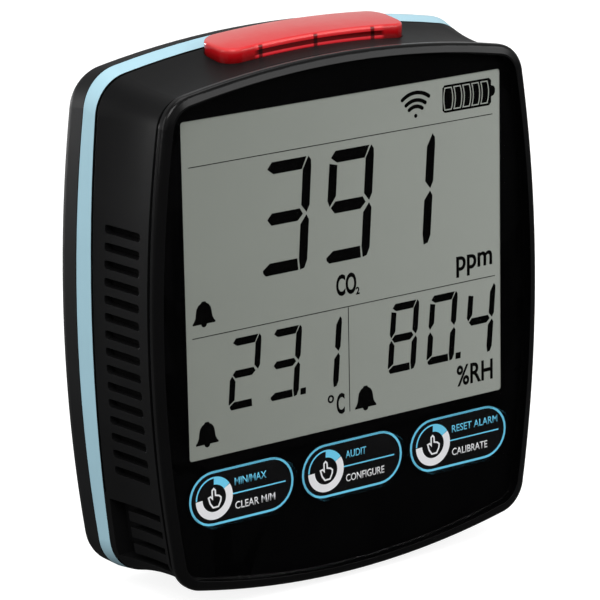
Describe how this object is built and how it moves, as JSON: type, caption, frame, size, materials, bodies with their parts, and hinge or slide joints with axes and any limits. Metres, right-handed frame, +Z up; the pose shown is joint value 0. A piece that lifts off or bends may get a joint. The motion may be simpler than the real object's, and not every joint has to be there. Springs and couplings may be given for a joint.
{
  "type": "carbon dioxide monitor",
  "caption": "Wall-hung carbon dioxide monitor with a large display, pill-shaped keys, side vents, a red beacon on top and a battery door in the back.",
  "frame": {"origin": "middle of the flat back face, which lies against the wall", "axes": "+X to the right as the display is read, +Y into the wall, +Z up"},
  "size_m": [0.1269, 0.0411, 0.1436],
  "materials": {
    "black_shell": "fine matt texture",
    "charcoal_shell": "fine matt texture",
    "black_gloss": "gloss",
    "clear_window": "gloss",
    "black_film": "smooth",
    "blue_trim": "satin",
    "red_lens": "gloss, translucent",
    "green_board": "satin",
    "ivory_lamp": "satin",
    "display_glass": "gloss",
    "grey_reflector": "satin",
    "white_plastic": "satin",
    "grey_rubber": "matt",
    "black_rubber": "matt",
    "chip_resin": "matt",
    "steel_can": "brushed",
    "gold_chamber": "satin",
    "white_membrane": "matt",
    "gold_pins": "polished",
    "grey_mesh": "woven",
    "spring_steel": "polished",
    "cell_jacket": "printed gloss jacket",
    "screw_steel": "zinc plated"
  },
  "bodies": {
    "case": {"front_shell": "black_shell", "rear_shell": "charcoal_shell", "bezel_frame": "black_gloss", "display_window": "clear_window", "window_mask": "black_film", "trim_band": "blue_trim", "sensor_louvre": "black_shell", "beacon_lens": "red_lens", "lamp_board": "green_board", "beacon_leds": "ivory_lamp", "lcd_front_glass": "display_glass", "lcd_rear_glass": "display_glass", "lcd_reflector": "grey_reflector", "lcd_frame": "white_plastic", "zebra_strip": "grey_rubber", "main_board": "green_board", "processor_chip": "chip_resin", "radio_module": "steel_can", "key_switches": "chip_resin", "sounder": "chip_resin", "power_socket": "steel_can", "co2_sensor_board": "green_board", "co2_sensor_chamber": "gold_chamber", "co2_sensor_membrane": "white_membrane", "co2_sensor_pins": "gold_pins", "humidity_sensor_board": "green_board", "humidity_sensor_chip": "chip_resin", "vent_filters": "grey_mesh", "battery_tray": "charcoal_shell", "battery_contacts": "spring_steel", "battery_springs": "spring_steel", "battery_1": "cell_jacket", "battery_2": "cell_jacket", "battery_3": "cell_jacket", "battery_4": "cell_jacket", "case_screws": "screw_steel", "board_screws": "screw_steel"},
    "battery_door": {"battery_door": "charcoal_shell"},
    "key_left": {"key_cap_left": "clear_window", "key_carrier_left": "black_rubber", "switch_plunger_left": "white_plastic"},
    "key_middle": {"key_cap_middle": "clear_window", "key_carrier_middle": "black_rubber", "switch_plunger_middle": "white_plastic"},
    "key_right": {"key_cap_right": "clear_window", "key_carrier_right": "black_rubber", "switch_plunger_right": "white_plastic"}
  },
  "joints": [
    {"name": "key_left_press", "type": "slide", "parent": "case", "child": "key_left", "axis": [0, 1, 0], "range_m": [0, 0.0005], "stiffness_N_per_m": 1500, "springref_m": -0.0004},
    {"name": "key_middle_press", "type": "slide", "parent": "case", "child": "key_middle", "axis": [0, 1, 0], "range_m": [0, 0.0005], "stiffness_N_per_m": 1500, "springref_m": -0.0004},
    {"name": "key_right_press", "type": "slide", "parent": "case", "child": "key_right", "axis": [0, 1, 0], "range_m": [0, 0.0005], "stiffness_N_per_m": 1500, "springref_m": -0.0004},
    {"name": "battery_door_slide", "type": "slide", "parent": "case", "child": "battery_door", "axis": [0, 0, -1], "range_m": [0, 0.07]}
  ]
}
